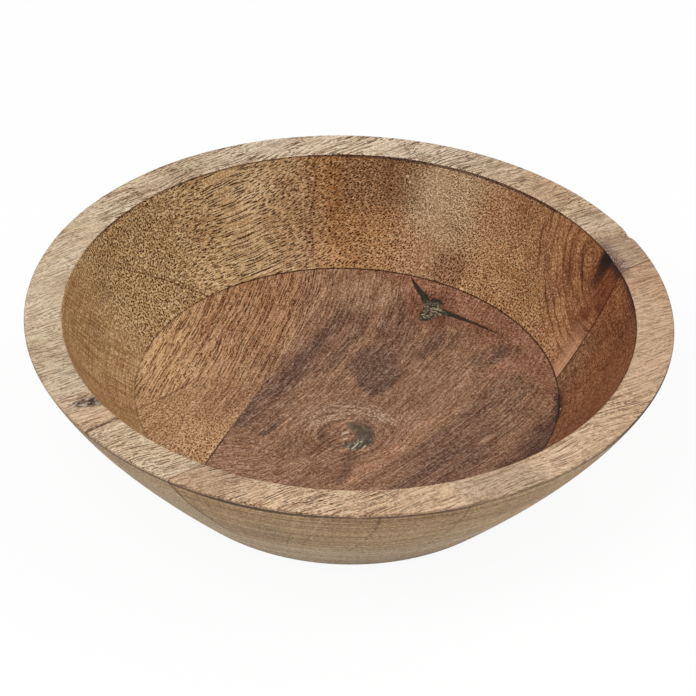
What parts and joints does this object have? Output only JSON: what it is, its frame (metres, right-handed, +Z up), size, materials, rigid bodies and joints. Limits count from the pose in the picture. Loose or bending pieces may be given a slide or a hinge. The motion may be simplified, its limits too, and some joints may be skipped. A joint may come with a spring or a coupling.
{
  "type": "wooden bowl",
  "caption": "Round mango wood serving bowl with a flat rim, sloping wall and flat floor, turned from glued boards, with dark filler in a floor crack and beside a knot.",
  "frame": {"origin": "centre of the flat underside that the bowl stands on", "axes": "+Z up along the bowl's axis, from the underside to the open rim; +X to the right and +Y away in the picture's view"},
  "size_m": [0.2492, 0.2492, 0.065],
  "materials": {
    "rear_wall_wood": "oiled tan mango wood, matt",
    "front_wall_wood": "oiled brown mango wood, matt",
    "light_base_wood": "oiled tan mango wood, satin",
    "dark_base_wood": "oiled red-brown mango wood, satin",
    "dark_filler": "dark wood filler, slightly glossy"
  },
  "bodies": {
    "root": {"rear_wall_board": "rear_wall_wood", "front_wall_board": "front_wall_wood", "light_base_board": "light_base_wood", "dark_base_board": "dark_base_wood", "crack_filler": "dark_filler", "knot_filler": "dark_filler"}
  },
  "joints": []
}
